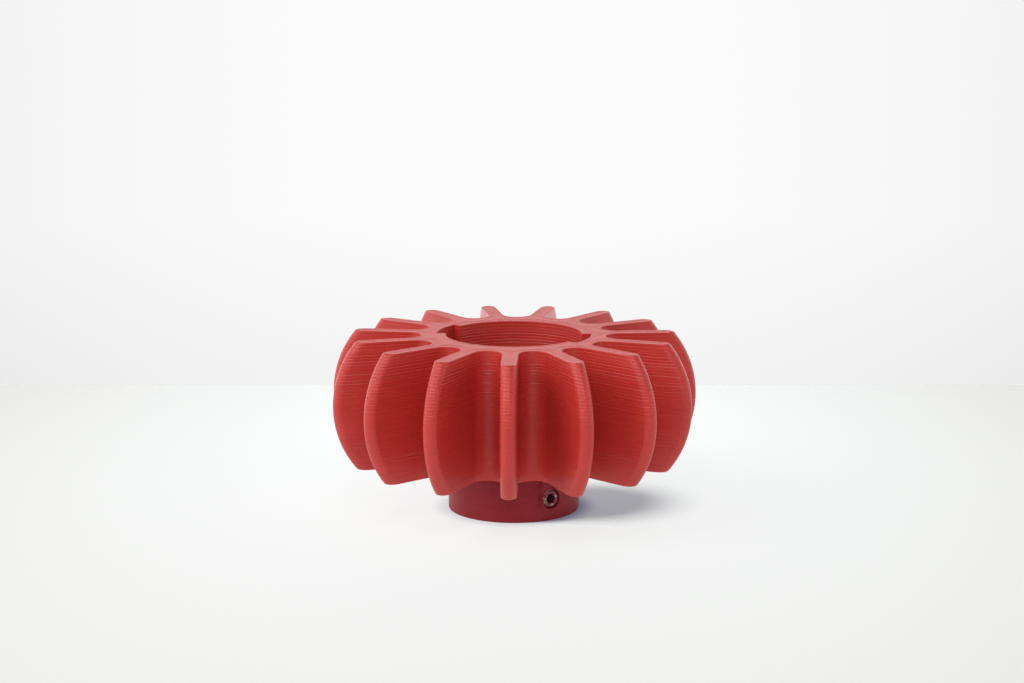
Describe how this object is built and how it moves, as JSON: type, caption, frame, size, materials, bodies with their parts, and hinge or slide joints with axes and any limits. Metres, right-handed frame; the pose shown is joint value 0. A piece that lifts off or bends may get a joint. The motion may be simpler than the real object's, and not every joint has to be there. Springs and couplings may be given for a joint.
{
  "type": "extruder hand wheel",
  "caption": "Barrel-shaped finned hand wheel on a twist-lock hub that a set screw clamps to a round drive shaft.",
  "frame": {"origin": "centre of the hub's lower end face, on the axis of rotation and on the surface that the hub stands on", "axes": "+Z along the axis of rotation, from the hub's lower end to the wheel's top face; -Y through the middle of one fin"},
  "size_m": [0.0594, 0.0592, 0.0288],
  "materials": {
    "red_print": "matte to satin red print with fine layer lines",
    "crimson_print": "satin crimson print with fine layer lines",
    "stainless_steel": "plain stainless",
    "zinc_steel": "bright zinc"
  },
  "bodies": {
    "hub": {"hub_core": "crimson_print", "captive_nut": "zinc_steel"},
    "wheel": {"fin_wheel": "red_print"},
    "screw": {"set_screw": "stainless_steel"}
  },
  "joints": [
    {"name": "twist_lock", "type": "hinge", "parent": "hub", "child": "wheel", "pos_m": [0, 0, 0.0125], "axis": [0, 0, 1], "range_deg": [0, 42]},
    {"name": "screw_travel", "type": "slide", "parent": "hub", "child": "screw", "axis": [0.5878, -0.809, 0], "range_m": [0, 0.0024]}
  ]
}
